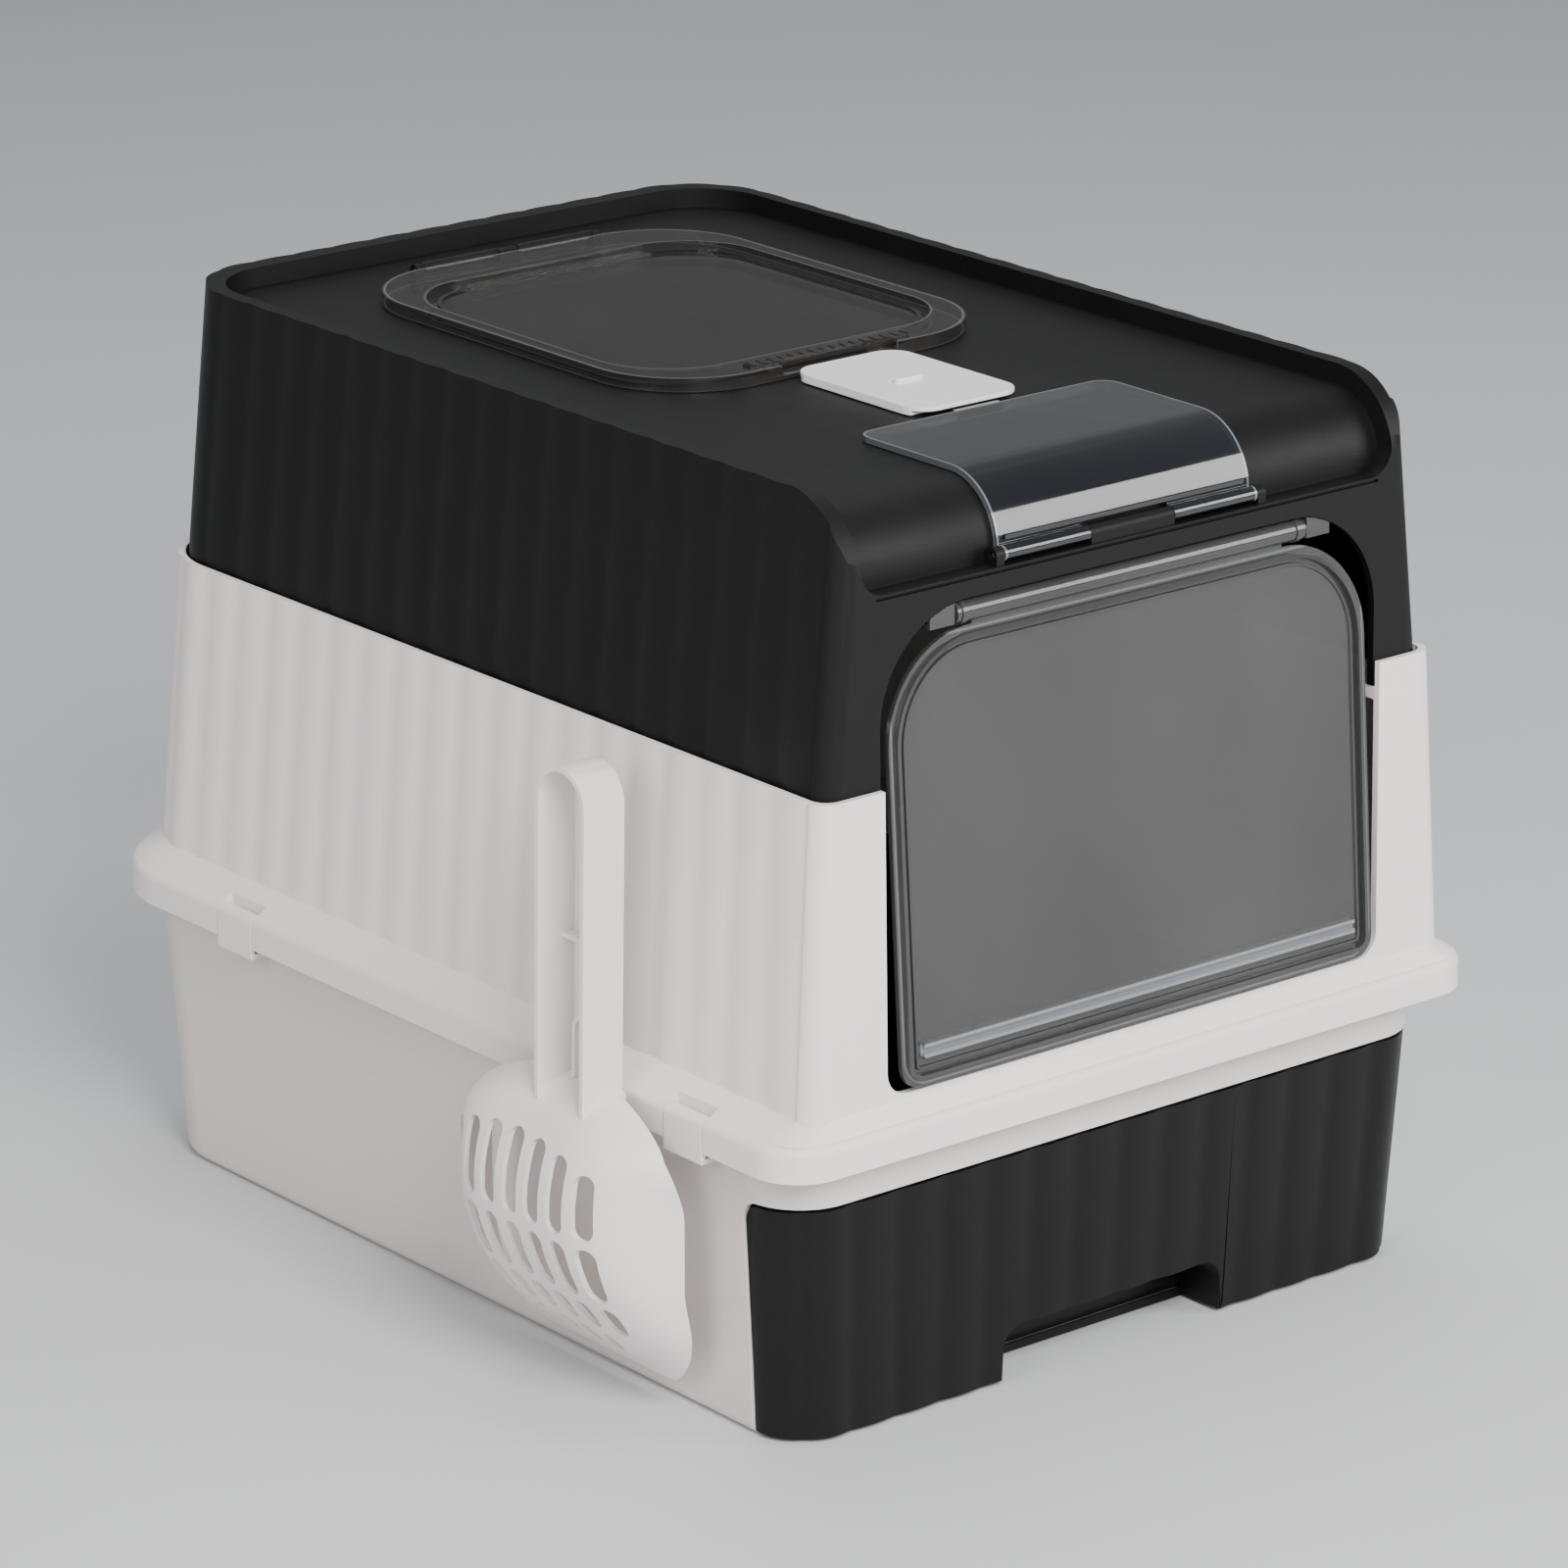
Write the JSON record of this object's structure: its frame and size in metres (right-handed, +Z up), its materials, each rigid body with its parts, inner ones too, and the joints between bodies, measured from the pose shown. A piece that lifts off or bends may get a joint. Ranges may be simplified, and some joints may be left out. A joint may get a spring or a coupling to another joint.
{
  "type": "hooded cat litter box",
  "caption": "Enclosed cat litter box: clipped fluted shell and lift-off hood, swinging flap door, clear roof lid and front window, slide latch, pull-out litter drawer and side scoop.",
  "frame": {"origin": "on the floor, under the middle of the box: the underside of the base tray", "axes": "+X to the right seen from the front, +Y to the back, +Z up; the door and drawer face -Y"},
  "size_m": [0.4523, 0.5335, 0.425],
  "materials": {
    "white_plastic": "satin warm white polypropylene with a fine moulded grain",
    "scoop_plastic": "satin white polypropylene, a little cleaner than the tray",
    "dark_plastic": "fine-grained matt charcoal plastic",
    "drawer_plastic": "smooth charcoal plastic",
    "smoked_plastic": "clear smoked plastic, polished",
    "door_plastic": "translucent grey plastic, polished",
    "latch_plastic": "semi-gloss white plastic",
    "steel": "plain steel wire and screws"
  },
  "bodies": {
    "base": {"base_tray": "white_plastic", "upper_shell": "white_plastic", "scoop_holder": "white_plastic"},
    "hood": {"hood": "dark_plastic", "door_rod": "steel", "door_bearing_left": "door_plastic", "door_bearing_right": "door_plastic", "lid_pin": "steel", "window_pin": "steel"},
    "door": {"front_door": "door_plastic"},
    "lid": {"top_lid": "smoked_plastic"},
    "window": {"front_window": "smoked_plastic"},
    "latch": {"latch_slider": "latch_plastic", "latch_retainer": "white_plastic", "latch_screw": "steel"},
    "drawer": {"litter_drawer": "drawer_plastic", "drawer_front": "dark_plastic", "drawer_screw_left": "steel", "drawer_screw_right": "steel"},
    "clip_left_front": {"clip_left_front": "white_plastic"},
    "clip_left_rear": {"clip_left_rear": "white_plastic"},
    "clip_right_front": {"clip_right_front": "white_plastic"},
    "clip_right_rear": {"clip_right_rear": "white_plastic"},
    "scoop": {"scoop": "scoop_plastic"}
  },
  "joints": [
    {"name": "hood_lift", "type": "slide", "parent": "base", "child": "hood", "axis": [0, 0, 1], "range_m": [0, 0.15]},
    {"name": "door_swing", "type": "hinge", "parent": "hood", "child": "door", "pos_m": [0, -0.2435, 0.3655], "axis": [1, 0, 0], "range_deg": [-70, 70]},
    {"name": "lid_hinge", "type": "hinge", "parent": "hood", "child": "lid", "pos_m": [0, 0.2, 0.42], "axis": [-1, 0, 0], "range_deg": [0, 105]},
    {"name": "window_hinge", "type": "hinge", "parent": "hood", "child": "window", "pos_m": [0, -0.243, 0.3864], "axis": [1, 0, 0], "range_deg": [0, 110]},
    {"name": "latch_slide", "type": "slide", "parent": "hood", "child": "latch", "axis": [0, 1, 0], "range_m": [-0.005, 0.005]},
    {"name": "drawer_slide", "type": "slide", "parent": "base", "child": "drawer", "axis": [0, -1, 0], "range_m": [0, 0.36]},
    {"name": "clip_left_front_hinge", "type": "hinge", "parent": "base", "child": "clip_left_front", "pos_m": [-0.2005, -0.1895, 0.1445], "axis": [0, 1, 0], "range_deg": [0, 40]},
    {"name": "clip_left_rear_hinge", "type": "hinge", "parent": "base", "child": "clip_left_rear", "pos_m": [-0.2005, 0.1455, 0.1445], "axis": [0, 1, 0], "range_deg": [0, 40]},
    {"name": "clip_right_front_hinge", "type": "hinge", "parent": "base", "child": "clip_right_front", "pos_m": [0.2005, -0.1895, 0.1445], "axis": [0, -1, 0], "range_deg": [0, 40]},
    {"name": "clip_right_rear_hinge", "type": "hinge", "parent": "base", "child": "clip_right_rear", "pos_m": [0.2005, 0.1455, 0.1445], "axis": [0, -1, 0], "range_deg": [0, 40]},
    {"name": "scoop_lift", "type": "slide", "parent": "base", "child": "scoop", "axis": [0, 0, 1], "range_m": [0, 0.06]}
  ]
}
